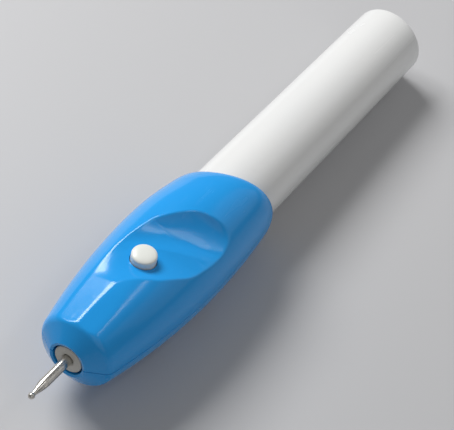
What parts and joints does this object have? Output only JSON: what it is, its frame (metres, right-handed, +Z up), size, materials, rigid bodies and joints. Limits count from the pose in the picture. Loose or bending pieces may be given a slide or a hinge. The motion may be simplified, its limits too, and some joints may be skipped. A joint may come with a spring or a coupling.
{
  "type": "engraving pen",
  "caption": "Battery engraving pen: a moulded split grip with a thumb scoop and push button, a small motor that turns a ball-ended nib, and a closed battery tube that pulls off.",
  "frame": {"origin": "centre of the footprint on the surface the pen lies on", "axes": "+X from the nose towards the closed end of the tube, +Z up, with the button on top; the pen's own axis falls 2.8 degrees towards the tail, because the pen lies on its belly and on the tube's end"},
  "size_m": [0.162, 0.0294, 0.0299],
  "materials": {
    "black_insulation": "extruded insulation",
    "black_plastic": "fine texture",
    "brass": "stamped strip",
    "bronze": "sintered, oiled",
    "button_white": "satin moulding, slightly warm",
    "cell_wrap": "printed shrink film, plain here",
    "copper": "lacquered copper",
    "ferrite": "sintered ferrite, dark grey",
    "gloss_blue": "polished moulding",
    "gloss_white": "polished moulding",
    "nickel_steel": "nickel plated",
    "red_insulation": "extruded insulation",
    "sleeve_plastic": "natural moulding",
    "zinc_steel": "zinc plated"
  },
  "bodies": {
    "grip": {"battery_carrier": "black_plastic", "battery_cell_front": "cell_wrap", "battery_cell_rear": "cell_wrap", "cell_spring": "nickel_steel", "front_contact": "brass", "grip_bottom_shell": "gloss_blue", "grip_screw_front_left": "zinc_steel", "grip_screw_front_right": "zinc_steel", "grip_screw_rear_left": "zinc_steel", "grip_screw_rear_right": "zinc_steel", "grip_top_shell": "gloss_blue", "lead_motor_to_return": "black_insulation", "lead_motor_to_switch": "red_insulation", "lead_switch_to_cell": "red_insulation", "motor_bush": "bronze", "motor_can": "zinc_steel", "motor_end_cap": "black_plastic", "motor_magnet_lower": "ferrite", "motor_magnet_upper": "ferrite", "motor_terminal_left": "brass", "motor_terminal_right": "brass", "return_strip": "brass", "switch_contact": "brass", "switch_leaf": "brass"},
    "rotor": {"motor_shaft": "zinc_steel", "motor_armature": "copper", "motor_commutator": "copper"},
    "nib": {"nib_sleeve": "sleeve_plastic", "nib_pin": "nickel_steel"},
    "button": {"power_button": "button_white"},
    "tube": {"battery_tube": "gloss_white"}
  },
  "joints": [
    {"name": "motor_spin", "type": "hinge", "parent": "grip", "child": "rotor", "pos_m": [-0.05084, 0, 0.01624], "axis": [0.9988, 0, -0.0495], "continuous": true},
    {"name": "nib_pull", "type": "slide", "parent": "rotor", "child": "nib", "axis": [-0.9988, 0, 0.0495], "range_m": [0, 0.02]},
    {"name": "button_press", "type": "slide", "parent": "grip", "child": "button", "axis": [-0.0495, 0, -0.9988], "range_m": [0, 0.0007], "stiffness_N_per_m": 700, "deforming": ["switch_leaf"]},
    {"name": "tube_pull", "type": "slide", "parent": "grip", "child": "tube", "axis": [0.9988, 0, -0.0495], "range_m": [0, 0.095]}
  ]
}
